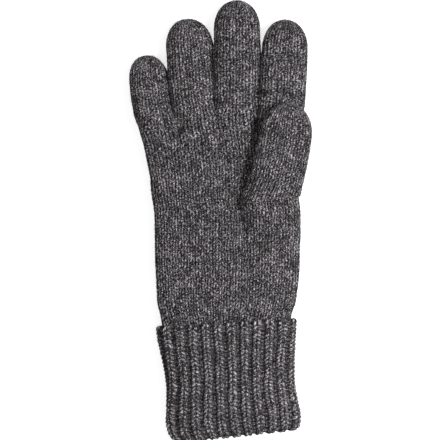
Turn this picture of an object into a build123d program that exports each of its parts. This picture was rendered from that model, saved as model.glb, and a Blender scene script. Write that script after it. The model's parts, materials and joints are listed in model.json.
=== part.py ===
"""A knitted wool glove for the right hand, lying flat with its palm up.

Millimetres. +Z up, +Y towards the fingertips, +X towards the thumb. The origin is
the middle of the footprint, on the surface that the glove lies on. Every knitted
tube is a hollow shell, and a finger is cut across where it bends.
"""
from build123d import *
import os
from math import cos, radians, sin, sqrt

os.makedirs("parts", exist_ok=True)

# Fabric and gaps
FINGER_WALL = 2.2
HAND_WALL = 2.4
RIB_WALL = 2.4
SLIT = 0.4  # between two lengths of a finger

# Fingers: all four start at the knuckle plane, at y = KNUCKLE_Y
KNUCKLE_Y = 58.0
FINGER_HEIGHT = 13.0  # at the knuckle plane
TIP_HEIGHT = 11.5
CAP_SHARE = 0.2  # the gathered cap's length as a share of the finger's width
CAP_HEIGHT_SHARE = 0.86  # the height where the cap begins as a share of the finger's
CAP_END_SHARE = 0.36  # the width of the cap's blunt end as a share of the finger's
# Each has the x of its root, its lean to the left in degrees, its widths at the root,
# the first bend and the middle, the distances of its three bends, and its length
FINGERS = {
    "little_finger": dict(x=-40.2, lean=9.5, widths=(22.8, 24.0, 23.6), bends=(6.0, 23.4, 35.0), length=47.4),
    "ring_finger": dict(x=-15.0, lean=4.7, widths=(22.0, 26.6, 27.2), bends=(12.0, 36.0, 53.0), length=70.7),
    "middle_finger": dict(x=11.0, lean=0.0, widths=(23.2, 26.4, 27.4), bends=(14.0, 42.5, 62.0), length=82.4),
    "index_finger": dict(x=38.3, lean=-3.4, widths=(25.8, 27.6, 27.4), bends=(18.5, 40.0, 55.0), length=69.9),
}

# Thumb: lies on the palm and swings out about a post at its outer edge
THUMB_X, THUMB_Y = 32.3, 13.0
THUMB_LEAN = -11.2
THUMB_FLOOR = 14.4  # underside of the thumb, just clear of the palm
THUMB_HEIGHT = 12.0
THUMB_TIP_HEIGHT = 10.5
THUMB_WIDTHS = (36.6, 35.0, 33.6)
THUMB_BENDS = (10.0, 35.0)
THUMB_LENGTH = 61.6
GUSSET_FLOOR = 14.1
# y, x of the middle, width and height of the gusset's sections
GUSSET = ((-36.0, 35.0, 18.0, 3.0), (-12.0, 33.4, 32.0, 9.0), (12.8, 32.2, 36.8, 12.3))
GUSSET_HOLLOW = ((-12.0, 33.4, 26.0, 4.6), (12.8, 32.2, 32.0, 7.5))
THUMB_HOLE = (33.0, 0.0, 22.0, 14.0)  # x, y, width, length of the way into the thumb

# Hand: y, x of the middle, width, underside, height of each section
HAND_HEIGHT = 14.0
HAND = (
    (-50.0, 4.2, 88.3, 0.0, HAND_HEIGHT),
    (-18.0, 4.4, 93.2, 0.0, HAND_HEIGHT),
    (7.5, 4.8, 94.0, 0.0, HAND_HEIGHT),
    (30.0, 3.5, 97.0, 0.0, HAND_HEIGHT),
    (KNUCKLE_Y, 0.2, 105.0, 0.0, FINGER_HEIGHT),
)
WEB_THICKNESS = 1.6
WEB_FLOOR, WEB_HEIGHT = 2.8, 7.2
WEB_START_Y = 53.0
WEBS = {"little_ring": (-27.5, 59.6), "ring_middle": (-2.2, 63.0), "middle_index": (24.35, 63.0)}

# Cuff: its own axis leans a little, and the turned-up layer slides along it
CUFF_TOP_X, CUFF_TOP_Y = 4.1, -65.5
CUFF_LEAN = 3.5
CUFF_HEIGHT = 18.0
CUFF_MIDDLE_Z = CUFF_HEIGHT / 2
WRIST_WIDTH, WRIST_HEIGHT = 75.2, 10.8
WRIST_LENGTH = 70.0
HAND_END_WIDTH = 80.0
CUFF_CLEARANCE = 0.45
HOLLOW_WIDTH = WRIST_WIDTH + 2 * CUFF_CLEARANCE
HOLLOW_HEIGHT = WRIST_HEIGHT + 2 * CUFF_CLEARANCE
BIND_OFF_LENGTH = 2.5
FOLD_START, FOLD_END = 64.0, 72.8
# distance below the top edge, width and height of the turned-up layer's sections
BIND_OFF = ((0.0, 89.3, CUFF_HEIGHT), (BIND_OFF_LENGTH, 88.4, CUFF_HEIGHT))
TURN_UP = (
    (BIND_OFF_LENGTH, 88.4, CUFF_HEIGHT),
    (18.0, 85.4, CUFF_HEIGHT),
    (36.0, 83.0, CUFF_HEIGHT),
    (52.0, 85.0, CUFF_HEIGHT),
    (FOLD_START, 87.4, CUFF_HEIGHT),
)
FOLD = ((FOLD_START, 87.4, CUFF_HEIGHT), (FOLD_END - 3.5, 85.0, 17.2), (FOLD_END, 79.0, 13.6))


def section_plane(x, y, z, lean=0.0):
    """A plane across a tube whose run leans by lean degrees to the left of +Y."""
    turn = radians(lean)
    return Plane(origin=(x, y, z), x_dir=(cos(turn), sin(turn), 0), z_dir=(-sin(turn), cos(turn), 0))


def finish(piece, name):
    """Labels a finished piece and writes it."""
    piece.part.label = name
    export_step(piece.part, f"parts/{name}.step")


def shell(name, sections, wall):
    """A hollow tube through sections, each a plane, a width and a height."""
    with BuildPart() as tube:
        for plane, width, height in sections:
            with BuildSketch(plane):
                SlotOverall(width, height)
        loft(ruled=True)
        for plane, width, height in sections:
            with BuildSketch(plane):
                SlotOverall(width - 2 * wall, height - 2 * wall)
        loft(ruled=True, mode=Mode.SUBTRACT)
    finish(tube, name)


def height_at(place, distance):
    """The tube's height, which falls evenly from its root to its tip."""
    return place["height"] + (place["tip_height"] - place["height"]) * distance / place["length"]


def width_at(place, distance):
    """The tube's width at a distance, with a half-round end."""
    root, first, middle = place["widths"]
    bend, radius = place["bends"][0], middle / 2
    if distance <= bend:
        return root + (first - root) * distance / bend
    left = place["length"] - distance
    if left < radius:
        return 2 * sqrt(radius**2 - (radius - left) ** 2)
    return first + (middle - first) * (distance - bend) / (place["length"] - radius - bend)


def tube_section(place, distance, height_share=1.0):
    """The plane across a finger at a distance from its root, and the section's width and height."""
    turn = radians(place["lean"])
    x = place["x"] - distance * sin(turn)
    y = place["y"] + distance * cos(turn)
    height = height_at(place, distance)
    plane = section_plane(x, y, place["floor"] + height / 2, place["lean"])
    return plane, width_at(place, distance), height * height_share


def lengths(name, place):
    """The tube's lengths between its bends, and the gathered cap that closes its tip."""
    radius = place["widths"][2] / 2
    cap = CAP_SHARE * 2 * radius
    tube_end = place["length"] - cap
    stops = [0.0, *place["bends"], tube_end]
    titles = ["root", "proximal", "middle", "distal"][: len(stops) - 2] + ["distal"]
    for title, low, high in zip(titles, stops, stops[1:]):
        if low == 0.0:
            height = place["height"]
            start = section_plane(place["x"], place["y"] + place["gap"], place["floor"] + height / 2)
            sections = [(start, place["widths"][0], height)]
        else:
            sections = [tube_section(place, low + SLIT / 2)]
        if high == tube_end:
            sections += [tube_section(place, place["length"] - share * radius) for share in (1.0, 0.65)]
            sections += [tube_section(place, tube_end, CAP_HEIGHT_SHARE)]
        else:
            sections += [tube_section(place, high - SLIT / 2)]
        shell(f"{name}_{title}", sections, FINGER_WALL)
    with BuildPart() as tip:
        for left, share in ((cap, CAP_HEIGHT_SHARE), (cap * 0.3, 0.62), (0.0, 0.3)):
            plane, width, height = tube_section(place, place["length"] - left, share)
            with BuildSketch(plane):
                SlotOverall(max(width, CAP_END_SHARE * 2 * radius), height)
        loft()
    finish(tip, f"{name}_tip")


def finger_place(name):
    """One finger's place and size, in the form that the functions above read."""
    return dict(
        FINGERS[name], y=KNUCKLE_Y, gap=0.0, floor=0.0, height=FINGER_HEIGHT, tip_height=TIP_HEIGHT
    )


THUMB = dict(
    x=THUMB_X, y=THUMB_Y, gap=SLIT / 2, lean=THUMB_LEAN, floor=THUMB_FLOOR, height=THUMB_HEIGHT,
    tip_height=THUMB_TIP_HEIGHT, widths=THUMB_WIDTHS, bends=THUMB_BENDS, length=THUMB_LENGTH,
)


def cuff_plane(distance):
    """The plane across the cuff at a distance below its top edge."""
    turn = radians(CUFF_LEAN)
    x = CUFF_TOP_X + distance * sin(turn)
    y = CUFF_TOP_Y - distance * cos(turn)
    return section_plane(x, y, CUFF_MIDDLE_Z, CUFF_LEAN)


def cuff_layer(name, sections, hollows):
    """A length of the turned-up layer, hollowed straight along the cuff's axis."""
    with BuildPart() as layer:
        for distance, width, height in sections:
            with BuildSketch(cuff_plane(distance)):
                SlotOverall(width, height)
        loft(ruled=True)
        for start, end, width, height in hollows:
            with BuildSketch(cuff_plane(start)):
                SlotOverall(width, height)
            extrude(amount=-(end - start), mode=Mode.SUBTRACT)
    finish(layer, name)


# Fingers and thumb
for finger in FINGERS:
    lengths(finger, finger_place(finger))
lengths("thumb", THUMB)

# Hand: one tube from the wrist to the knuckles, with the way into the thumb in its palm
with BuildPart() as hand_tube:
    for wall in (0.0, HAND_WALL):
        with BuildSketch(cuff_plane(-0.5)):
            SlotOverall(HAND_END_WIDTH - 2 * wall, WRIST_HEIGHT - 2 * wall)
        for y, x, width, floor, height in HAND:
            with BuildSketch(section_plane(x, y, floor + height / 2)):
                SlotOverall(width - 2 * wall, height - 2 * wall)
        loft(ruled=True, mode=Mode.SUBTRACT if wall else Mode.ADD)
    hole_x, hole_y, hole_width, hole_length = THUMB_HOLE
    with BuildSketch(Plane.XY.offset(HAND_HEIGHT / 2)):
        with Locations((hole_x, hole_y)):
            Ellipse(hole_width / 2, hole_length / 2)
    extrude(amount=HAND_HEIGHT, mode=Mode.SUBTRACT)
finish(hand_tube, "hand_tube")

# Webs: the stitches that join palm to back between two fingers
for pair, (web_x, web_end_y) in WEBS.items():
    with BuildPart() as web:
        with BuildSketch(Plane.XY.offset(WEB_FLOOR)):
            with Locations((web_x, (WEB_START_Y + web_end_y) / 2)):
                Rectangle(WEB_THICKNESS, web_end_y - WEB_START_Y)
        extrude(amount=WEB_HEIGHT)
    finish(web, f"web_{pair}")

# Gusset: the widening fabric that rises from the palm to the thumb
with BuildPart() as thumb_gusset:
    for y, x, width, height in GUSSET:
        with BuildSketch(section_plane(x, y, GUSSET_FLOOR + height / 2)):
            SlotOverall(width, height)
    loft()
    for y, x, width, height in GUSSET_HOLLOW:
        with BuildSketch(section_plane(x, y, GUSSET_FLOOR + HAND_WALL + height / 2)):
            SlotOverall(width, height)
    loft(mode=Mode.SUBTRACT)
    with BuildSketch(Plane.XY.offset(GUSSET_FLOOR)):
        with Locations((hole_x, hole_y)):
            Ellipse(hole_width / 2, hole_length / 2)
    extrude(amount=HAND_WALL + 2.0, mode=Mode.SUBTRACT)
finish(thumb_gusset, "thumb_gusset")

# Wrist: the ribbed inner layer, hidden under the turned-up cuff
wrist_planes = (cuff_plane(-0.5), cuff_plane(WRIST_LENGTH))
shell("wrist_rib", [(plane, WRIST_WIDTH, WRIST_HEIGHT) for plane in wrist_planes], RIB_WALL)

# Cuff: bound-off edge, turned-up layer and the fold where it turns inwards
MOUTH = (WRIST_WIDTH - 2 * RIB_WALL, WRIST_HEIGHT - 2 * RIB_WALL)
HOLLOW = (HOLLOW_WIDTH, HOLLOW_HEIGHT)
fold_hollow_end = WRIST_LENGTH + CUFF_CLEARANCE
cuff_layer("cuff_bind_off", BIND_OFF, ((0.0, BIND_OFF_LENGTH, *HOLLOW),))
cuff_layer("cuff_turn_up", TURN_UP, ((BIND_OFF_LENGTH, FOLD_START, *HOLLOW),))
fold_hollows = ((FOLD_START, fold_hollow_end, *HOLLOW), (fold_hollow_end, FOLD_END, *MOUTH))
cuff_layer("cuff_fold", FOLD, fold_hollows)
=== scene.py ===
"""A knitted glove: stocking stitch hand, fingers and thumb, and a turned-up rib cuff.

Every length is in millimetres until a mesh is made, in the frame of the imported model. The knitted surfaces are
grids of points: the rows of a grid go along a tube and its columns go round. A grid has a place, a wale and a
course at each point, and the stitches are raised from those.
"""
import json
import math

import bpy
import numpy as np
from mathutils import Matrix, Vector


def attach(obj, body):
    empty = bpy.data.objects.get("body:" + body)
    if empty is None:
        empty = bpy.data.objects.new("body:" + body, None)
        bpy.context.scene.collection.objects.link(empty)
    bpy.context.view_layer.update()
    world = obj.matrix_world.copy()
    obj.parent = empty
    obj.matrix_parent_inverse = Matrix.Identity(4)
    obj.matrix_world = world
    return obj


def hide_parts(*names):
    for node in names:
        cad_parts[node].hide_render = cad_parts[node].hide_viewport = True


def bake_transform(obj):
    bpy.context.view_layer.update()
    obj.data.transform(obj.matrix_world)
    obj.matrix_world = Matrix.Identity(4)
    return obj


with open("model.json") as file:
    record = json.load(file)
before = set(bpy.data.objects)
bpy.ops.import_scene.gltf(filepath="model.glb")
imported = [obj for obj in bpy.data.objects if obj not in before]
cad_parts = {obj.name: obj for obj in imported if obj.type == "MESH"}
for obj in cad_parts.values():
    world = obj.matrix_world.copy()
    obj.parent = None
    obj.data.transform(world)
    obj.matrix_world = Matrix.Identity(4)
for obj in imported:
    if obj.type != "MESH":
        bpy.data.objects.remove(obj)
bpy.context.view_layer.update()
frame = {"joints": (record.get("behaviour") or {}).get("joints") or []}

MM = 0.001

# Knitting
PALM_COURSE = 2.7            # the height of one course
FINGER_COURSE = 2.5
RIB_COURSE = 2.5
HAND_WALES = 26              # on the palm, and again on the back
FINGER_WALES = 17            # all round a finger
THUMB_WALES = 21
RIBS = 22                    # all round the cuff
STITCH_RISE = 0.95           # of a V's legs over the cloth, in stocking stitch
LEG_RISE = 1.05              # the same in rib
RIB_RISE = 1.5               # of a rib over its groove
KNIT_SHARE = 0.73            # of a rib, the rest is the groove
SLACK = 0.3                  # how far the cloth wanders from its smooth shape
FLOOR = 0.12                 # nothing goes lower
OUTLINE_INSET = 0.5          # of stocking stitch, so that its raised stitches reach the outline
CUFF_INSET = 1.7             # the same for the ribs

# Loose hairs
HAIR_LENGTH = 3.2
HAIR_RINGS = ((0, 0.05), (0.34, 0.045), (0.67, 0.035), (1, 0.012))     # a share of its length, and its radius there

# The hand: its edges are given at heights up the palm
WRIST_Y = -74
LEFT_EDGE = ((-80, -35.4), (-74, -36), (-66, -37), (-59, -38.4), (-54, -39.7), (-44, -40.4), (-20, -41.7),
             (7, -42.2), (18, -43.8), (28, -44.8), (38, -46.7), (48.5, -48.5), (57, -50.9), (64, -52))
RIGHT_EDGE = ((-80, 42.6), (-74, 43.5), (-66, 44.8), (-59, 46.1), (-54, 48), (-44, 49.5), (-20, 50.8), (0, 51.3),
              (8, 50.9), (15, 50), (24, 51), (64, 53))
ROOTS = np.array(((-51.2, 57), (-27.5, 58.7), (-2.2, 65.1), (24.3, 63.8), (53, 64)))
HAND_TOP = 13.9
HAND_FLATNESS = 3.4          # of a section: 2 is an ellipse, and more is nearer to a rectangle
CUFF_HIDES, HIDE_REACH = -56, 12         # below here the hand goes in under the cuff, over this length
HIDDEN_FLOOR, HIDDEN_TOP = 3.2, 13.4
TUCK, TUCK_Y, TUCK_REACH = 2.2, -70.8, 3.2       # how far its lower edge is pulled in, and where
ROOT_REACH, CROTCH_REACH = 26, 13        # how far below the roots the hand takes on the fingers' sections
PAST_END = 1.01              # a share that the last point of a line stays below

# The fingers: a line of their middles, widths at distances along it, and the length of the rounded end
FINGER_TOP = 14.0
TIP_TOP = 11.6
FINGER_FLATNESS = 2.7
FINGER_ROLL = 2.2            # the left side of a finger is raised and its right side lowered
FINGER_HAIRS = 1000
CROTCH_CUT = 0.985           # where a finger's section stops beside its neighbour
FINGERS = (
    ("little_finger", ((-43.2, 73), (-45.3, 88), (-45.7, 97), (-44.8, 105.6)),
     ((0, 25.4), (16, 25.2), (32, 25)), 15),
    ("ring_finger", ((-16.9, 79), (-18.7, 96), (-19.4, 110), (-21.8, 129)),
     ((0, 28.2), (16, 28.8), (34, 29.7), (49, 29.9)), 18),
    ("middle_finger", ((11.1, 80), (11.1, 96), (11.1, 115), (10.9, 141)),
     ((0, 28.8), (15, 29), (32, 30), (52, 29.3)), 18),
    ("index_finger", ((39.9, 80), (40.8, 96), (41.5, 110), (43.5, 128.5)),
     ((0, 29.8), (16, 29.4), (32, 29.4), (48, 28.8)), 18),
)
FINGER_JOINTS = ("_knuckle", "_bend", "_tip_bend")

# The thumb lies on the palm and grows from a gusset between its crotch and its notch
THUMB_CROTCH = np.array((13.4, 10.7))
THUMB_NOTCH = np.array((49.6, 15.2))
THUMB_LINE = ((35.2, 23.6), (39.9, 42.1), (42.1, 55), (43.9, 74))
THUMB_WIDTHS = ((0, 37), (12, 33.6), (26, 32.9), (46, 32.4))
THUMB_DOME = 20
THUMB_FLATNESS = 4.6
THUMB_ROLL = 1.6
THUMB_FLOOR = 14.3
THUMB_TOP = 23.8
THUMB_TIP_TOP = 25.9
THUMB_HAIRS = 1300
GUSSET_START = -42
GUSSET_SINK = 0.6            # its crest stays this far under the thumb's
GUSSET_END_REACH = 5         # how far past its edge the gusset sinks back, under the thumb

# The cuff: its edges are given at distances down its length from the middle of its top edge
CUFF_LEAN = math.radians(3.5)
CUFF_TOP = np.array((4.1, -67.8))
CUFF_LEFT = ((0, -44.6), (8, -43.8), (19, -42.2), (35, -40.6), (50, -42.2), (63, -42.6), (68, -40.9), (72, -36.5),
             (76, -30))
CUFF_RIGHT = ((0, 44.6), (15, 42.9), (37, 41.5), (45, 42.3), (50, 43.2), (61, 44.6), (66, 43.4), (70.5, 38))
CUFF_LENGTH = (71.4, 67.6)   # at its left and right edges
CUFF_HEIGHT = 17.6
CUFF_FLATNESS = 3.2
CUFF_TWIST = 0.36            # of a rib, from the top edge to the fold
LAYER = 2.0                  # one layer of rib, under its columns
FOLD = 1.8                   # the radius of the turn at the cuff's fold
CHAIN_RADIUS = 1.15          # of the bound-off chain
WRIST_INSET = 4.9            # the inner rib lies this far inside the outer one

# Points to a wale, a course and a rib
PER_WALE, PER_COURSE = 9, 6
BACK_PER_WALE = 7
PER_RIB = 17
WRIST_PER_RIB, WRIST_PER_COURSE = 14, 5

BLEND_REACH = 9              # of a bend, each way from its joint


def smooth(t):
    t = np.clip(t, 0, 1)
    return t * t * (3 - 2 * t)


def mix(a, b, share):
    return a + (b - a) * share


def through(pairs, at):
    """Smooth values through (knot, value) pairs."""
    knots = np.array([p[0] for p in pairs], float)
    values = np.array([p[1] for p in pairs], float)
    slopes = np.gradient(values, knots, axis=0)
    at = np.clip(np.asarray(at, float), knots[0], knots[-1])
    index = np.clip(np.searchsorted(knots, at) - 1, 0, len(knots) - 2)
    span = knots[index + 1] - knots[index]
    u = (at - knots[index]) / span
    if values.ndim > 1:
        u, span = u[..., None], span[..., None]
    return (values[index] * (1 + 2 * u) * (1 - u) ** 2 + values[index + 1] * u * u * (3 - 2 * u)
            + slopes[index] * span * u * (1 - u) ** 2 - slopes[index + 1] * span * u * u * (1 - u))


def lengths(points):
    steps = np.linalg.norm(np.diff(points, axis=0), axis=1)
    return np.concatenate([[0], np.cumsum(steps)])


def at_shares(points, shares):
    """Points at shares of the length of a line."""
    length = lengths(points)
    return np.stack([np.interp(np.asarray(shares) * length[-1], length, points[:, k]) for k in range(3)], axis=-1)


LATTICE_SIZE = 128
LATTICE = np.random.RandomState(11).uniform(-1, 1, (8, LATTICE_SIZE, LATTICE_SIZE))


def wander(x, y, layer):
    """Smooth noise from -1 to 1, with one lattice step to a unit."""
    x, y = np.broadcast_arrays(np.asarray(x, float), np.asarray(y, float))
    i, j = np.floor(x).astype(int), np.floor(y).astype(int)
    u, v = smooth(x - i), smooth(y - j)

    def at(right, up):
        return LATTICE[layer][(i + right) % LATTICE_SIZE, (j + up) % LATTICE_SIZE]

    return mix(mix(at(0, 0), at(1, 0), u), mix(at(0, 1), at(1, 1), u), v)


def own_tone(i, j, k):
    """A steady random number from -1 to 1 for one leg of one stitch."""
    i, j, k = (np.asarray(n).astype(int) for n in (i, j, k))
    return LATTICE[6, (i * 37 + k * 61 + j * 3) % LATTICE_SIZE, (j * 53 + i * 7 + k * 29) % LATTICE_SIZE]


def legs(g, c, wale, side, lean=0.31, width=0.215, span=1.5):
    """One side's legs of the V's, each row over the next: their height, their own tone, and how far across a leg.

    g runs from 0 at the V's edge to 0.5 in its middle. A leg leans by lean over its length of span courses.
    """
    height = np.zeros_like(c)
    tone = np.zeros_like(c)
    across = np.zeros_like(c)
    for back in (0, 1):
        stitch = np.floor(c) - back
        along = (c - stitch) / span
        swell = np.sqrt(np.sin(np.pi * np.clip(along, 0, 1)))
        own = own_tone(wale, stitch, side)
        half = width * (1 + 0.12 * own) * np.maximum(swell, 0.05)
        offset = (g - (0.40 - lean * along)) / half
        leg = np.sqrt(np.clip(1 - offset ** 2, 0, 1)) * (0.72 + 0.28 * swell) * (1 + 0.07 * own)
        leg = np.where(along <= 1, leg, 0)
        better = leg > height
        height = np.where(better, leg, height)
        tone = np.where(better, own, tone)
        across = np.where(better, offset, across)
    return height, tone, across


def stocking(w, c):
    """Stocking stitch at wale w and course c, with V's that open towards higher courses."""
    w = w + 0.13 * wander(w * 1.3, c * 0.7, 0) + 0.06 * wander(w * 0.23, c * 0.17, 1)
    c = c + 0.2 * wander(w * 1.1, c * 0.9, 2) + 0.2 * wander(w * 0.2, c * 0.3, 3)
    wale = np.floor(w)
    place = w - wale
    side = place >= 0.5
    return legs(np.where(side, 1 - place, place), c, wale, side)


def rib(r, c):
    """One by one rib at rib r and course c: a rounded column of V's, then a groove of purl bumps.

    The last value it gives is for the material's painted shade: about 1 on top of the yarn, and less between the
    yarns and in the groove, which the material darkens.
    """
    r = r + 0.08 * wander(r * 1.9, c * 0.35, 0)
    c = c + 0.25 * wander(r * 1.7, c * 0.8, 2)
    column = np.floor(r)
    place = (r - column) / KNIT_SHARE
    knit = place < 1
    side = place >= 0.5
    v, tone, across = legs(np.where(side, 1 - place, place), c, column, side, lean=0.33, width=0.2, span=1.15)
    swell = np.sqrt(np.clip(1 - np.abs(2 * place - 1) ** 3.2, 0, 1))
    in_groove = (place - 1) * KNIT_SHARE / (1 - KNIT_SHARE)
    purl = np.sin(np.pi * np.clip(in_groove, 0, 1)) * (0.5 + 0.5 * np.cos(2 * np.pi * c))
    height = np.where(knit, RIB_RISE * swell + LEG_RISE * v * np.sqrt(swell), 0.5 * purl)
    # Painted shade: the material darkens the colour where this is low, at the columns' edges, between the legs and
    # in the groove between purl bumps
    depth = np.where(knit, (0.62 + 0.38 * swell) * (0.42 + 0.65 * v), 0.44 + 0.4 * purl)
    tone = np.where(knit, tone, own_tone(column, np.floor(c), 2))
    return height, tone, across, depth


def normals(points, closed):
    """Outward directions of a grid whose columns go round and whose rows go along."""
    if closed:
        around = np.roll(points, -1, axis=1) - np.roll(points, 1, axis=1)
    else:
        around = np.gradient(points, axis=1)
    along = np.gradient(points, axis=0)
    out = np.cross(around, along)
    return out / np.maximum(np.linalg.norm(out, axis=2, keepdims=True), 1e-9)


def raised(grid, closed=True, rise=STITCH_RISE, fade=1.0, ribbed=False, lowest=FLOOR):
    """A grid with its stitches raised from it. grid has place, wale and course at each point."""
    place, w, c = grid["place"], grid["wale"], grid["course"]
    out = normals(place, closed)
    if ribbed:
        height, tone, across, depth = rib(w, c)
    else:
        height, tone, across = stocking(w, c)
        # The legs' height also sets the painted shade, so the material darkens the gaps between legs
        depth = height
        height = height * rise
    slack = SLACK * wander(place[..., 0] / 13 + 5, place[..., 1] / 17 + 9, 4)
    made = place + out * (height * fade + slack * np.minimum(fade, 1))[..., None]
    made[..., 2] = np.maximum(made[..., 2], lowest + 0.1 * np.clip(height, 0, 1))
    # Where the material's fibres lie: across a leg, along it, and far from those of every other leg
    yarn = np.stack([across, c * PALM_COURSE, tone * 40], axis=-1)
    return {"place": made, "out": out, "rest": place, "yarn": yarn, "depth": depth * np.ones_like(c),
            "tone": tone, "closed": closed}


def part_of(grid, rows=slice(None), columns=slice(None)):
    """Some rows or columns of a grid, which isn't closed any more if it loses columns."""
    cut = {k: (v[rows, columns] if isinstance(v, np.ndarray) else v) for k, v in grid.items()}
    cut["closed"] = grid["closed"] and columns == slice(None)
    return cut


def fibres(grid, count, seed):
    """Fine loose hairs that start on a grid: short three-sided tubes, each bent a little."""
    random = np.random.RandomState(seed)
    rows, columns = grid["place"].shape[:2]
    i = random.randint(1, rows - 1, count)
    j = random.randint(1, columns - 1, count)
    root, out = grid["place"][i, j], grid["out"][i, j]
    along = grid["place"][np.minimum(i + 1, rows - 1), j] - grid["place"][i - 1, j]
    along /= np.maximum(np.linalg.norm(along, axis=1, keepdims=True), 1e-6)
    side = np.cross(out, along)
    turn = random.uniform(0, 2 * np.pi, count)[:, None]
    flat = along * np.cos(turn) + side * np.sin(turn)
    bend = np.cross(out, flat) * random.uniform(-0.9, 0.9, count)[:, None]
    lift = random.uniform(0.1, 0.55, count)[:, None]
    size = (HAIR_LENGTH * random.uniform(0.45, 1.25, count))[:, None]
    rings = []
    for step, thick in HAIR_RINGS:
        way = flat * 0.9 + bend * step * 0.6 + out * (lift * (1.3 - step * 0.8))
        centre = root - out * 0.1 + size * step * way
        centre[:, 2] = np.maximum(centre[:, 2], FLOOR + 0.05)
        ring = [centre + thick * (np.cross(flat, out) * math.cos(a) + out * math.sin(a)) for a in (0.5, 2.6, 4.7)]
        rings.append(np.stack(ring, axis=1))
    points = np.concatenate(rings, axis=1).reshape(-1, 3)
    start = np.arange(count) * 12      # four rings of three points
    quads = [np.stack([start + s * 3 + k, start + s * 3 + (k + 1) % 3, start + s * 3 + 3 + (k + 1) % 3,
                       start + s * 3 + 3 + k], axis=1) for s in range(3) for k in range(3)]
    ends = [np.stack([start + 2, start + 1, start], axis=1), np.stack([start + 9, start + 10, start + 11], axis=1)]
    bright = np.repeat(random.uniform(0.3, 1.2, count), 12)
    return points, np.concatenate(quads), np.concatenate(ends), bright


def knitted(name, grid, slot, hairs=0, seed=1, tip=False):
    """One mesh object from a raised grid, with its hairs, and closed at its last row if that is a tip."""
    rows, columns = grid["place"].shape[:2]
    points = [grid["place"].reshape(-1, 3)]
    index = np.arange(rows * columns).reshape(rows, columns)
    if grid["closed"]:
        index = np.concatenate([index, index[:, :1]], axis=1)
    quads = [np.stack([index[:-1, :-1], index[:-1, 1:], index[1:, 1:], index[1:, :-1]], axis=-1).reshape(-1, 4)]
    triangles = []
    facts = {k: [grid[k].reshape(-1, 3)] for k in ("yarn", "rest")}
    facts.update({k: [grid[k].reshape(-1)] for k in ("depth", "tone")})
    facts["hair"] = [np.zeros(rows * columns)]
    count = rows * columns

    def more(place, **values):
        points.append(place)
        for key in facts:
            facts[key].append(values[key])

    if tip:
        ring = index[-1]
        triangles.append(np.stack([ring[:-1], ring[1:], np.full(len(ring) - 1, count)], axis=1))
        more(grid["place"][-1].mean(axis=0)[None], yarn=grid["yarn"][-1, :1], rest=grid["rest"][-1, :1],
             depth=np.array([0.5]), tone=np.zeros(1), hair=np.zeros(1))
        count += 1
    if hairs:
        place, hair_quads, hair_ends, bright = fibres(grid, hairs, seed)
        more(place, yarn=place[:, [2, 1, 0]], rest=place, depth=np.full(len(place), 0.95), tone=bright - 0.6,
             hair=bright)
        quads.append(hair_quads + count)
        triangles.append(hair_ends + count)
    points = np.concatenate(points) * MM
    quads = np.concatenate(quads)
    triangles = np.concatenate(triangles) if triangles else np.zeros((0, 3), int)
    mesh = bpy.data.meshes.new(name)
    mesh.vertices.add(len(points))
    mesh.vertices.foreach_set("co", points.reshape(-1).astype(np.float32))
    mesh.loops.add(quads.size + triangles.size)
    corners = np.concatenate([quads.reshape(-1), triangles.reshape(-1)])
    mesh.loops.foreach_set("vertex_index", corners.astype(np.int32))
    mesh.polygons.add(len(quads) + len(triangles))
    sizes = np.concatenate([np.full(len(quads), 4), np.full(len(triangles), 3)])
    mesh.polygons.foreach_set("loop_start", (np.cumsum(sizes) - sizes).astype(np.int32))
    mesh.update(calc_edges=True)
    mesh.shade_smooth()
    for key, values in facts.items():
        values = np.concatenate(values).astype(np.float32)
        kind, field = ("FLOAT_VECTOR", "vector") if values.ndim > 1 else ("FLOAT", "value")
        mesh.attributes.new(key, kind, "POINT").data.foreach_set(field, values.reshape(-1))
    mesh.materials.append(WOOL[slot])
    piece = bpy.data.objects.new(name, mesh)
    bpy.context.scene.collection.objects.link(piece)
    return piece


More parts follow.
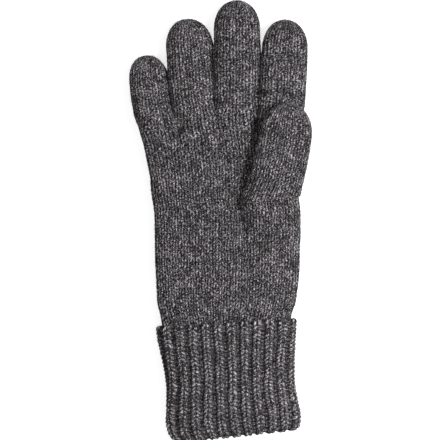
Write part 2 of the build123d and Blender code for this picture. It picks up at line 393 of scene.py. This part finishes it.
def wool(name, grain, fleck_share, lightness):
    """Charcoal melange wool: dark and light fibres run along each yarn, and painted shade darkens the gaps between
    yarns.
    """
    material = bpy.data.materials.new(name)
    material.use_nodes = True
    nodes, links = material.node_tree.nodes, material.node_tree.links
    shader = nodes["Principled BSDF"]
    shader.inputs["Roughness"].default_value = 0.92
    shader.inputs["Specular IOR Level"].default_value = 0.12
    shader.inputs["Sheen Weight"].default_value = 0.05
    shader.inputs["Sheen Roughness"].default_value = 0.6

    def node(kind, **settings):
        made = nodes.new(kind)
        for key, value in settings.items():
            if key in made.inputs:
                made.inputs[key].default_value = value
            else:
                setattr(made, key.lower(), value)
        return made

    def attribute(key, out):
        return node("ShaderNodeAttribute", Attribute_name=key).outputs[out]

    def math_node(operation, first, second, third=None):
        made = node("ShaderNodeMath", Operation=operation)
        for socket, value in zip(made.inputs, (first, second, third)):
            if value is None:
                continue
            if isinstance(value, (int, float)):
                socket.default_value = value
            else:
                links.new(value, socket)
        return made.outputs[0]

    def noise(vector, scale, detail, stretch):
        scaled = node("ShaderNodeVectorMath", Operation="MULTIPLY")
        links.new(vector, scaled.inputs[0])
        scaled.inputs[1].default_value = stretch
        made = node("ShaderNodeTexNoise", Scale=scale, Detail=detail, Roughness=0.6)
        links.new(scaled.outputs[0], made.inputs["Vector"])
        return made.outputs["Fac"]

    yarn, rest = attribute("yarn", "Vector"), attribute("rest", "Vector")
    depth, tone, hair = (attribute(key, "Fac") for key in ("depth", "tone", "hair"))
    streak = noise(yarn, 1.0, 2.0, (1.3, 1.5, 1.0))
    fleck = noise(rest, grain, 2.0, (1.5, 1.1, 1.5))
    cloud = noise(rest, 1.0, 2.0, (0.14, 0.14, 0.14))
    # Brightness from -1 to 1 or a little more
    value = math_node("MULTIPLY_ADD", math_node("SUBTRACT", streak, 0.5), 5.4, lightness)
    value = math_node("MULTIPLY_ADD", math_node("SUBTRACT", fleck, 0.5), fleck_share, value)
    value = math_node("MULTIPLY_ADD", math_node("SUBTRACT", cloud, 0.5), 1.2, value)
    value = math_node("MULTIPLY_ADD", tone, 0.16, value)
    value = math_node("MULTIPLY_ADD", hair, 0.55, value)
    ramp = node("ShaderNodeValToRGB")
    links.new(math_node("MULTIPLY_ADD", value, 0.5, 0.5), ramp.inputs["Fac"])
    stops = ((0.0, 0.004), (0.3, 0.016), (0.55, 0.064), (0.8, 0.185), (1.0, 0.45))
    while len(ramp.color_ramp.elements) < len(stops):
        ramp.color_ramp.elements.new(0.5)
    for element, (position, grey) in zip(ramp.color_ramp.elements, stops):
        element.position = position
        element.color = (grey, grey * 0.93, grey * 0.99, 1)
    # Painted shade: the colour is made darker between the yarns and in the rib's grooves, from the attribute read
    # above
    shadow = node("ShaderNodeMapRange")
    shadow.inputs["To Min"].default_value = 0.03
    links.new(math_node("POWER", depth, 2.5), shadow.inputs["Value"])
    shaded = node("ShaderNodeMix", Data_type="RGBA", Blend_type="MULTIPLY")
    shaded.inputs[0].default_value = 1
    links.new(ramp.outputs["Color"], shaded.inputs[6])
    links.new(shadow.outputs[0], shaded.inputs[7])
    links.new(shaded.outputs[2], shader.inputs["Base Color"])
    bump = node("ShaderNodeBump", Strength=0.55, Distance=0.00025)
    links.new(noise(yarn, 1.0, 2.0, (3.2, 1.5, 1.0)), bump.inputs["Height"])
    links.new(bump.outputs["Normal"], shader.inputs["Normal"])
    return material


WOOL = {"wool_stocking_stitch": wool("wool_stocking_stitch", 1.0, 6.2, -0.03),
        "wool_rib": wool("wool_rib", 1.25, 8.4, 0.04)}


# ---------------------------------------------------------------- sections

def arch(flatness, left=1.0, right=1.0, count=121):
    """The top half of a rounded section one unit wide and high, cut off at shares of its half width."""
    angle = np.linspace(-math.asin(left ** (flatness / 2)), math.asin(right ** (flatness / 2)), count)
    return np.sign(angle) * np.abs(np.sin(angle)) ** (2 / flatness), np.cos(angle)


def section(left, right, low, high, flatness, cuts=(1.0, 1.0)):
    """Front and back lines of a section between two edge points, each from left to right."""
    middle = (low + high) / 2
    x, z = arch(flatness, *cuts)
    share = (x - x[0]) / (x[-1] - x[0])
    flat = left + (right - left) * share[:, None]
    front = np.column_stack([flat, middle + (high - middle) * z])
    back = np.column_stack([flat, middle - (middle - low) * z])
    return front, back


def ring_from(front, back, count):
    """Evenly spaced points of a closed ring that starts at the middle of its front and goes to the right."""
    half = len(front) // 2
    whole = np.concatenate([front[half:], back[::-1], front[:half + 1]])
    return at_shares(whole, np.arange(count) / count), lengths(front)[-1] / lengths(whole)[-1]


# ---------------------------------------------------------------- fingers and thumb

def tube(first, start, line, widths, dome, low, high, tip_high, wales, wale_at, front_wales, front_share, course,
         turn, flatness, roll):
    """A closed knitted tube from its first ring to its tip, its fade to smooth there, and its rows' distances.

    It goes from start through line, and turns from its first ring to its own section over the distance turn.
    wale_at is the wale at the middle of its front. front_wales of its wales cross front_share of its first ring.
    """
    count = len(first)
    rough = np.array([start] + [np.array(p) for p in line])
    knots = lengths(rough)
    fine = np.linspace(0, knots[-1], 400)
    path = through(list(zip(knots, rough)), fine)
    along = lengths(path)
    total = along[-1] - OUTLINE_INSET
    straight = total - dome
    steps = int(straight / course * PER_COURSE)
    dome_steps = int(dome * 1.35 / course * PER_COURSE)
    angle = np.linspace(0, math.pi / 2, dome_steps + 1)[1:-1]
    distance = np.concatenate([np.linspace(0, straight, steps), straight + dome * np.sin(angle)])
    scale = np.concatenate([np.ones(steps), np.cos(angle)])
    travelled = np.concatenate([[0], np.cumsum(np.hypot(np.diff(distance), np.diff(scale) * 10))])

    def on_path(at):
        return np.stack([np.interp(at, along, path[:, k]) for k in range(2)], axis=1)

    centre = on_path(distance)
    direction = on_path(distance + 1) - on_path(distance - 1)
    direction /= np.linalg.norm(direction, axis=1, keepdims=True)
    across = np.stack([direction[:, 1], -direction[:, 0]], axis=1)
    width = through(widths, distance) - 2 * OUTLINE_INSET
    u = np.arange(count) / count
    u = np.where(u > 0.5, u - 1, u)
    reach = front_share / 2
    past = (np.abs(u) - reach) / (0.5 - reach)
    first_wale = np.where(np.abs(u) < reach, u / reach * front_wales / 2,
                          np.sign(u) * (front_wales / 2 + past * (wales - front_wales) / 2))
    place, wale = [], []
    for d, s, c, n, w in zip(distance, scale, centre, across, width):
        share = smooth(d / turn)
        top = mix(high, tip_high, d / total)
        middle = (low + top) / 2
        up = (top - middle) * s ** 0.8
        half = n * w / 2 * s
        ring, _ = ring_from(*section(c - half, c + half, middle - up, middle + up, flatness), count)
        offset = (ring[:, :2] - c) @ n / (w / 2)
        ring[:, 2] -= roll * offset * ring[:, 2] / top
        carried = first + np.append(c - start, 0)
        place.append(mix(carried, ring, share))
        wale.append(wale_at + mix(first_wale, u * wales, share))
    place = np.array(place)
    own_course = place[..., 1] / PALM_COURSE
    at_start = start[1] / PALM_COURSE
    share = smooth(distance / 16)[:, None]
    course_at = mix(own_course, at_start + travelled[:, None] / course + np.zeros(count), share)
    grid = {"place": place, "wale": np.array(wale), "course": course_at}
    fade = np.minimum(1, 0.18 + 1.1 * scale)[:, None]
    return grid, fade, distance


def finger_ring(index):
    """Front and back lines of a finger's first ring, between two of the roots."""
    outer_left, outer_right = index == 0, index == len(FINGERS) - 1
    cuts = (1.0 if outer_left else CROTCH_CUT, 1.0 if outer_right else CROTCH_CUT)
    left, right = ROOTS[index].copy(), ROOTS[index + 1].copy()
    left[0] += OUTLINE_INSET * outer_left
    right[0] -= OUTLINE_INSET * outer_right
    return section(left, right, FLOOR, FINGER_TOP, FINGER_FLATNESS, cuts)


rings = [finger_ring(index) for index in range(len(FINGERS))]
front_lengths = np.array([lengths(front)[-1] for front, back in rings])
root_shares = np.concatenate([[0], np.cumsum(front_lengths)]) / front_lengths.sum()


# ---------------------------------------------------------------- the hand

def along_roots(lines, at):
    """Points at shares of the line that the fingers' first rings make together, across the palm or the back."""
    ends = np.append(root_shares[1:-1], PAST_END)
    return np.concatenate([at_shares(line, (at[(at >= a) & (at < b)] - a) / (b - a))
                           for line, a, b in zip(lines, root_shares, ends)])


def hand_grid():
    """The palm and the back, from inside the cuff to the fingers' roots, and shares of the way across them."""
    height = ROOTS[:, 1].mean() - WRIST_Y
    rows = int(height / PALM_COURSE * PER_COURSE)
    front_at = np.linspace(0, 1, HAND_WALES * PER_WALE + 1)
    back_at = np.linspace(0, 1, HAND_WALES * BACK_PER_WALE + 1)[1:-1]
    front_row = along_roots([front for front, back in rings], front_at)
    front_row[-1] = rings[-1][0][-1]
    back_row = along_roots([back for front, back in rings], back_at)
    flats = []
    shares = np.linspace(0, 1, rows)
    for t in shares:
        left_y, right_y = mix(WRIST_Y, ROOTS[0, 1], t), mix(WRIST_Y, ROOTS[-1, 1], t)
        hidden = smooth((CUFF_HIDES - left_y) / HIDE_REACH)
        tuck = TUCK * smooth((TUCK_Y - left_y) / TUCK_REACH) ** 2
        left = np.array((through(LEFT_EDGE, left_y) + OUTLINE_INSET + tuck, left_y))
        right = np.array((through(RIGHT_EDGE, right_y) - OUTLINE_INSET - tuck, right_y))
        front, back = section(left, right, mix(FLOOR, HIDDEN_FLOOR, hidden) + tuck,
                              mix(HAND_TOP, HIDDEN_TOP, hidden) - tuck, HAND_FLATNESS)
        flats.append((at_shares(front, front_at), at_shares(back, back_at)))
    front = np.array([f for f, b in flats])
    back = np.array([b for f, b in flats])
    run = (shares[:, None] - 1) * height
    near = smooth(1 + run / ROOT_REACH)
    close = smooth(1 + run / CROTCH_REACH)
    pull = np.stack([near, near, close], axis=-1)
    front = front + pull * (front_row - front[-1])
    back = back + pull * (back_row - back[-1])
    return front, back, front_at, back_at


def gusset_rise(front, front_at):
    """Shares of the gusset's full height over the palm, its ends across the palm, and how high up its edge lies."""
    x, y = front[..., 0], front[..., 1]
    edge_way = THUMB_NOTCH - THUMB_CROTCH
    ring_y = THUMB_CROTCH[1] + (x - THUMB_CROTCH[0]) * edge_way[1] / edge_way[0]
    ends = [np.interp(edge[0], front[np.argmin(np.abs(y[:, 0] - edge[1])), :, 0], front_at)
            for edge in (THUMB_CROTCH, THUMB_NOTCH)]
    spread = 2 * (front_at[None, :] - ends[0]) / (ends[1] - ends[0]) - 1
    grown = smooth((y - GUSSET_START) / (ring_y - GUSSET_START))
    # A low bump where it starts, and the thumb's own section at its edge
    sharp = np.clip(grown, 0, 1) ** 5
    dome = np.clip(1 - np.abs(spread) ** mix(2, THUMB_FLATNESS, sharp), 0, 1) ** mix(1.7, 0.5, sharp)
    after = smooth(1 - (y - ring_y) / GUSSET_END_REACH)
    return grown * dome * after, ends, ring_y


front, back, front_at, back_at = hand_grid()
rise, gusset_ends, ring_y = gusset_rise(front, front_at)
lifted = front.copy()
lifted[..., 2] += rise * (THUMB_TOP - GUSSET_SINK - HAND_TOP)
hand = {"place": np.concatenate([lifted, back[:, ::-1]], axis=1)}
hand_shape = hand["place"].shape[:2]
hand_wales = np.concatenate([front_at * HAND_WALES, HAND_WALES + (1 - back_at[::-1]) * HAND_WALES])
hand["wale"] = np.broadcast_to(hand_wales, hand_shape)
hand["course"] = hand["place"][..., 1] / PALM_COURSE
raised_hand = raised(hand)
front_columns = len(front_at)
palm = knitted("palm", part_of(raised_hand, columns=slice(0, front_columns)), "wool_stocking_stitch",
               hairs=2600, seed=3)
back_columns = np.r_[front_columns - 1:hand_shape[1], 0]
back_grid = {k: (v[:, back_columns] if isinstance(v, np.ndarray) else v) for k, v in raised_hand.items()}
back_grid["closed"] = False
hand_back = knitted("hand_back", back_grid, "wool_stocking_stitch", hairs=900, seed=4)
for piece in (palm, hand_back):
    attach(piece, "hand")
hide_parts("hand_tube", "thumb_gusset")


def joint_named(name):
    return next(joint for joint in frame["joints"] if joint["name"] == name)


def bend_lengths(name, raised_tube, distance, bends, hairs, seed):
    """Cuts a tube into lengths that each cross one joint, makes each a piece of its own and hides the CAD nodes it
    stands for.

    A bend is a joint, where its length ends, where the bend starts and ends, and the CAD nodes it stands for, with
    the way that it runs if that isn't along the tube. Places are distances along the tube.
    """
    centres = raised_tube["rest"].mean(axis=1)
    first = 0
    for number, (joint_name, stop, begin, finish, nodes, way) in enumerate(bends):
        last = number == len(bends) - 1
        final = len(distance) - 1 if last else int(np.searchsorted(distance, stop))
        piece = knitted(f"{name}_knit_{number + 1}", part_of(raised_tube, rows=slice(first, final + 1)),
                        "wool_stocking_stitch", hairs=int(hairs * (final - first) / len(distance)),
                        seed=seed + number, tip=last)
        start, end = (centres[np.searchsorted(distance, at)] for at in (begin, finish))
        if way is not None:
            end = start + np.append(way, 0) * (finish - begin)
        end[2] = start[2]
        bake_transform(piece)
        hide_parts(*nodes)
        first = final


def joint_distance(name, start):
    """How far along a tube a joint lies."""
    place = joint_named(name)["pos_m"]
    return float(np.hypot(place[0] / MM - start[0], place[1] / MM - start[1]))


finger_columns = FINGER_WALES * PER_WALE - 1
for index, (name, line, widths, dome) in enumerate(FINGERS):
    first, front_share = ring_from(*rings[index], finger_columns)
    spot = (ROOTS[index] + ROOTS[index + 1]) / 2
    shares = root_shares[index:index + 2]
    grid, fade, distance = tube(
        first, spot, line, widths, dome, FLOOR, FINGER_TOP, TIP_TOP, FINGER_WALES,
        shares.mean() * HAND_WALES, (shares[1] - shares[0]) * HAND_WALES, front_share, FINGER_COURSE,
        turn=12, flatness=FINGER_FLATNESS, roll=FINGER_ROLL)
    made = raised(grid, fade=fade)
    at = [joint_distance(name + end, spot) for end in FINGER_JOINTS]
    cuts = [(at[0] + at[1]) / 2, (at[1] + at[2]) / 2, distance[-1]]
    nodes = [[f"{name}_root", f"{name}_proximal"], [f"{name}_middle"], [f"{name}_distal", f"{name}_tip"]]
    bends = []
    for end, middle, before, stop, replaced in zip(FINGER_JOINTS, at, [0] + cuts, cuts, nodes):
        reach = min(BLEND_REACH, middle - before, stop - middle)
        bends.append((name + end, stop, middle - reach, middle + reach, replaced, None))
    bend_lengths(name, made, distance, bends, FINGER_HAIRS, seed=20 + index * 5)

# The thumb's first ring is the gusset's edge, closed by a flat underside
crossing = np.argmin(np.abs(lifted[..., 1] - ring_y), axis=0)
inside = np.where((front_at >= gusset_ends[0]) & (front_at <= gusset_ends[1]))[0]
edge = lifted[crossing[inside], inside]
edge[:, 1] = ring_y[crossing[inside], inside]
edge[:, 2] = np.maximum(edge[:, 2], THUMB_FLOOR)
thumb_back = np.linspace(edge[0], edge[-1], 60)
thumb_back[:, 2] = THUMB_FLOOR - 0.1
thumb_columns = THUMB_WALES * PER_WALE - 1
first, front_share = ring_from(at_shares(edge, np.linspace(0, 1, 121)), thumb_back, thumb_columns)
thumb_start = (THUMB_CROTCH + THUMB_NOTCH) / 2
grid, fade, distance = tube(
    first, thumb_start, THUMB_LINE, THUMB_WIDTHS, THUMB_DOME, THUMB_FLOOR, THUMB_TOP, THUMB_TIP_TOP, THUMB_WALES,
    np.mean(gusset_ends) * HAND_WALES, (gusset_ends[1] - gusset_ends[0]) * HAND_WALES, front_share, PALM_COURSE,
    turn=10, flatness=THUMB_FLATNESS, roll=THUMB_ROLL)
made = raised(grid, fade=fade, lowest=THUMB_FLOOR - 0.3)
away = THUMB_NOTCH - THUMB_CROTCH
away = np.array((-away[1], away[0])) / np.linalg.norm(away)
thumb_bends = [("thumb_swing", 14, 0.3, 9, ["thumb_root"], away),
               ("thumb_lift", 25, 14.5, 24.5, ["thumb_proximal"], None),
               ("thumb_bend", None, 26, 44, ["thumb_distal", "thumb_tip"], None)]
bend_lengths("thumb", made, distance, thumb_bends, THUMB_HAIRS, seed=60)


# ---------------------------------------------------------------- webs

def web(name, index):
    """The picked-up stitches between two fingers: a small saddle that joins palm to back."""
    root = ROOTS[index]
    width, height = 2.2, 3.4
    columns, rows = 19, 17
    a = np.linspace(-1, 1, columns)[None, :]
    b = np.linspace(-1, 1, rows)[:, None]
    x = root[0] + a * width + 0 * b
    y = root[1] + 2.4 * a ** 2 - 1.2 * b ** 2 + 0.4
    z = FINGER_TOP / 2 - b * height + 0 * a
    grid = {"place": np.stack([x, y, z], axis=-1), "wale": 6 + a * 0.9 + 0 * b, "course": 4 + b * 1.4 + 0 * a}
    piece = knitted("knit_" + name, raised(grid, closed=False, rise=0.5), "wool_stocking_stitch")
    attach(piece, "hand")
    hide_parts(name)


for index, name in ((1, "web_little_ring"), (2, "web_ring_middle"), (3, "web_middle_index")):
    web(name, index)


# ---------------------------------------------------------------- the cuff

def cuff_place(across, down):
    """Points at distances across and down the cuff."""
    down_way = np.array((math.sin(CUFF_LEAN), -math.cos(CUFF_LEAN)))
    right_way = np.array((math.cos(CUFF_LEAN), math.sin(CUFF_LEAN)))
    return CUFF_TOP + np.multiply.outer(across, right_way) + np.multiply.outer(down, down_way)


def cuff_ring(share, inset, drop, count):
    """One ring of the cuff: share 0 is its top edge and 1 its fold, inset is how far it lies inside the outside."""
    left_down, right_down = CUFF_LENGTH[0] * share + drop, CUFF_LENGTH[1] * share + drop
    left = cuff_place(through(CUFF_LEFT, left_down) + CUFF_INSET + inset, left_down)
    right = cuff_place(through(CUFF_RIGHT, right_down) - CUFF_INSET - inset, right_down)
    front, back = section(left, right, FLOOR + inset, CUFF_HEIGHT - RIB_RISE - inset, CUFF_FLATNESS)
    ring, _ = ring_from(front, back, count)
    return ring


def cuff_grid(count, stations):
    """A closed tube of rib through (share, inset, drop) stations, with its courses by length."""
    place = np.array([cuff_ring(*station, count) for station in stations])
    along = lengths(place[:, 0])
    u = np.arange(count) / count
    shares = np.array([share for share, inset, drop in stations])[:, None]
    return {"place": place, "wale": u * RIBS + CUFF_TWIST * shares,
            "course": np.broadcast_to(-along[:, None] / RIB_COURSE, place.shape[:2])}


# The outer rib: down the inside to the fold, round it, up the outside, over the top edge and down inside that
steps = PER_COURSE / RIB_COURSE
inside_run, outside_run, lip = 7, 68, 5
stations = []
for t in np.linspace(0, 1, int(inside_run * steps)):
    stations.append((1.0, 2 * FOLD, -inside_run - FOLD + inside_run * t))
for angle in np.linspace(0, math.pi, int(math.pi * FOLD * steps))[1:]:
    stations.append((1.0, FOLD + FOLD * math.cos(angle), -FOLD + FOLD * math.sin(angle)))
for t in np.linspace(0, 1, int(outside_run * steps))[1:]:
    stations.append((1 - t, 0.0, -FOLD * (1 - t)))
for angle in np.linspace(0, math.pi, int(math.pi * LAYER / 2 * steps))[1:]:
    stations.append((0.0, LAYER / 2 - LAYER / 2 * math.cos(angle), -LAYER / 2 * math.sin(angle)))
for t in np.linspace(0, 1, int(lip * steps))[1:]:
    stations.append((0.0, LAYER, lip * t))
inner = np.array([inset for share, inset, drop in stations])[:, None]
cuff_made = raised(cuff_grid(RIBS * PER_RIB, stations), ribbed=True, fade=1 - 0.7 * smooth(inner / LAYER))
cuff = knitted("cuff_knit", cuff_made, "wool_rib", hairs=1700, seed=90)
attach(cuff, "cuff")
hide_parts("cuff_turn_up", "cuff_fold")


def bind_off():
    """The chain along the cuff's free edge: a thin tube of V's that lie along it."""
    chains = 2 * RIBS
    count, rows = chains * PER_WALE, 22
    edge = cuff_ring(0.0, CHAIN_RADIUS, 0.0, count)
    edge = edge + np.append((cuff_place(0, -0.5) - cuff_place(0, 0)), 0)
    ahead = np.roll(edge, -1, axis=0) - np.roll(edge, 1, axis=0)
    ahead /= np.linalg.norm(ahead, axis=1, keepdims=True)
    up = np.append(cuff_place(0, -1.0) - cuff_place(0, 0), 0)
    out = np.cross(ahead, up)
    angle = np.linspace(0, 2 * np.pi, rows)[:, None, None]
    place = edge + CHAIN_RADIUS * (np.sin(angle) * up - np.cos(angle) * out)
    course = np.broadcast_to(np.arange(count) / count * chains, (rows, count))
    wale = np.broadcast_to(angle[..., 0] / np.pi - 0.25, (rows, count))
    piece = knitted("cuff_chain", raised({"place": place, "wale": wale, "course": course}, rise=0.6), "wool_rib",
                    hairs=300, seed=97)
    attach(piece, "cuff")
    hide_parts("cuff_bind_off")


bind_off()

# The inner rib, hidden under the turned-up one but for its opening
wrist_rows = int(70 * WRIST_PER_COURSE / RIB_COURSE)
wrist_stations = [(share, WRIST_INSET, 0.0) for share in np.linspace(0.93, 0.02, wrist_rows)]
wrist_made = raised(cuff_grid(RIBS * WRIST_PER_RIB, wrist_stations), ribbed=True, fade=0.5)
wrist = knitted("wrist_knit", wrist_made, "wool_rib", hairs=600, seed=95)
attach(wrist, "hand")
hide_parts("wrist_rib")


# ---------------------------------------------------------------- floor, light and camera

def made_object(name, data, place, aim=None):
    """An object in the scene, turned to face aim if that is given. Places are in metres from here on."""
    thing = bpy.data.objects.new(name, data)
    bpy.context.scene.collection.objects.link(thing)
    thing.location = place
    if aim is not None:
        direction = (Vector(aim) - Vector(place)).normalized()
        thing.rotation_euler = direction.to_track_quat("-Z", "Y").to_euler()
    return thing


floor_mesh = bpy.data.meshes.new("floor")
floor_mesh.from_pydata([(-4, -4, 0), (4, -4, 0), (4, 4, 0), (-4, 4, 0)], [], [(0, 1, 2, 3)])
floor = made_object("floor", floor_mesh, (0, 0, -0.0002))
floor_material = bpy.data.materials.new("floor")
floor_material.use_nodes = True
nodes, links = floor_material.node_tree.nodes, floor_material.node_tree.links
nodes.remove(nodes["Principled BSDF"])
seen, bounced, backlit, lit = (nodes.new("ShaderNode" + kind) for kind in
                               ("BsdfDiffuse", "BsdfDiffuse", "Emission", "AddShader"))
seen.inputs["Color"].default_value = (0.5, 0.5, 0.5, 1)
bounced.inputs["Color"].default_value = (0.1, 0.1, 0.1, 1)
backlit.inputs["Strength"].default_value = 0.75
links.new(seen.outputs[0], lit.inputs[0])
links.new(backlit.outputs[0], lit.inputs[1])
chosen, rays = nodes.new("ShaderNodeMixShader"), nodes.new("ShaderNodeLightPath")
links.new(rays.outputs["Is Camera Ray"], chosen.inputs[0])
links.new(bounced.outputs[0], chosen.inputs[1])
links.new(lit.outputs[0], chosen.inputs[2])
links.new(chosen.outputs[0], nodes["Material Output"].inputs["Surface"])
floor_mesh.materials.append(floor_material)

world = bpy.data.worlds.new("studio")
world.use_nodes = True
nodes, links = world.node_tree.nodes, world.node_tree.links
lighting = nodes["Background"]
lighting.inputs["Color"].default_value = (1, 1, 1, 1)
lighting.inputs["Strength"].default_value = 0.5
backdrop, chosen, rays = (nodes.new("ShaderNode" + kind) for kind in ("Background", "MixShader", "LightPath"))
backdrop.inputs["Color"].default_value = (1, 1, 1, 1)
links.new(rays.outputs["Is Camera Ray"], chosen.inputs[0])
links.new(lighting.outputs[0], chosen.inputs[1])
links.new(backdrop.outputs[0], chosen.inputs[2])
links.new(chosen.outputs[0], nodes["World Output"].inputs["Surface"])
bpy.context.scene.world = world

for name, place, size, power in (("key", (0.84, 0.04, 1.03), 0.5, 27.5), ("fill", (-0.5, -0.6, 1.3), 0.6, 3)):
    light = bpy.data.lights.new(name, "AREA")
    light.size = size
    light.energy = power
    made_object(name, light, place, (0, 0, 0.01))

camera = bpy.data.cameras.new("camera")
camera.sensor_width = 36
camera.lens = 135
camera.clip_end = 20
view = made_object("camera", camera, (0, 0, 1.064))      # it looks straight down
bpy.context.scene.camera = view
bpy.context.scene.view_settings.view_transform = "Standard"
